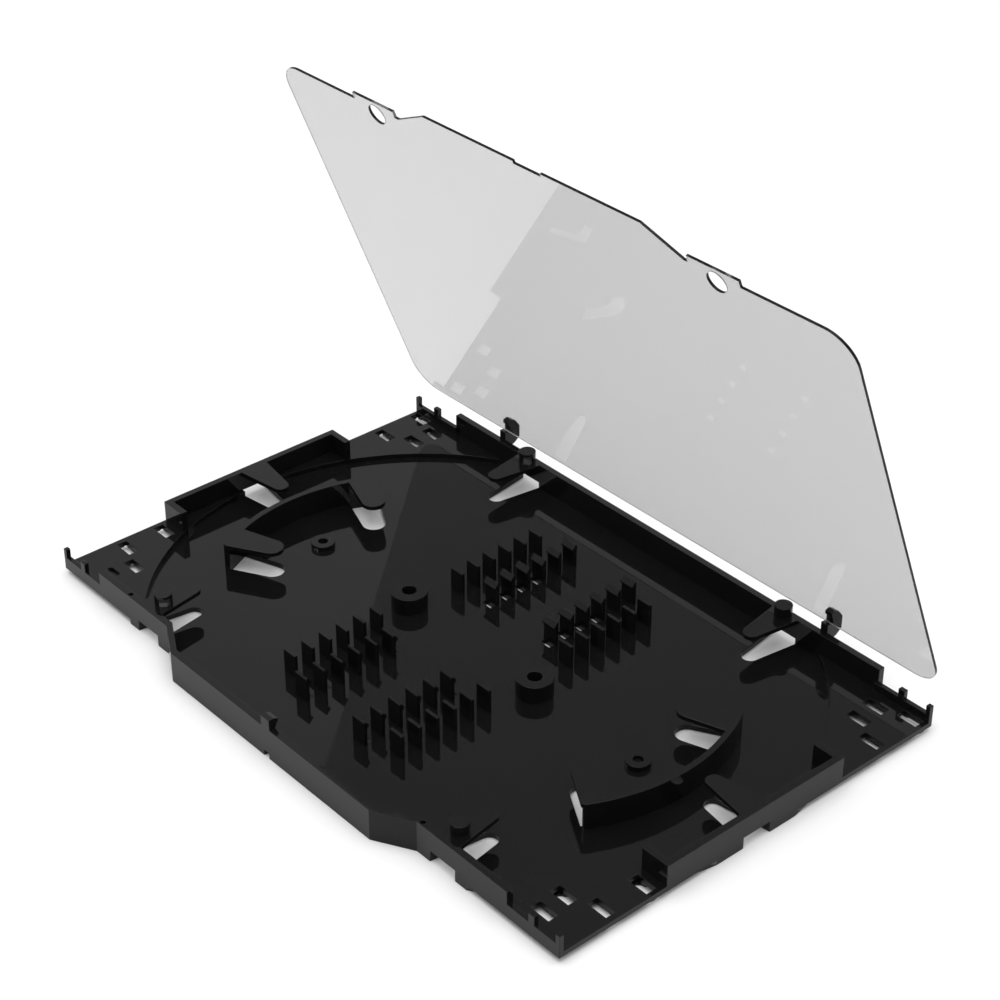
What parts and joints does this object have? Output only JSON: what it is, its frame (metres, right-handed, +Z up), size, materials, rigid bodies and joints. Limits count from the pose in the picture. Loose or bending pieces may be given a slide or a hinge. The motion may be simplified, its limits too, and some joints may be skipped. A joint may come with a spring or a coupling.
{
  "type": "fibre splice tray",
  "caption": "Flat fibre splice tray with curved guides, splice combs, holding tabs and a clear hinged lid.",
  "frame": {"origin": "on the underside of the low floor, midway along the length and midway across the corner plates", "axes": "+X along the length, +Y towards the lid's hinge hooks, +Z up out of the tray"},
  "size_m": [0.2412, 0.1649, 0.1593],
  "materials": {
    "tray_plastic": "smooth black moulded plastic",
    "lid_plastic": "clear polished sheet"
  },
  "bodies": {
    "tray_body": {"tray": "tray_plastic"},
    "lid_body": {"lid": "lid_plastic"}
  },
  "joints": [
    {"name": "lid_hinge", "type": "hinge", "parent": "tray_body", "child": "lid_body", "pos_m": [0, 0.07645, 0.01575], "axis": [1, 0, 0], "range_deg": [-6, 69]}
  ]
}
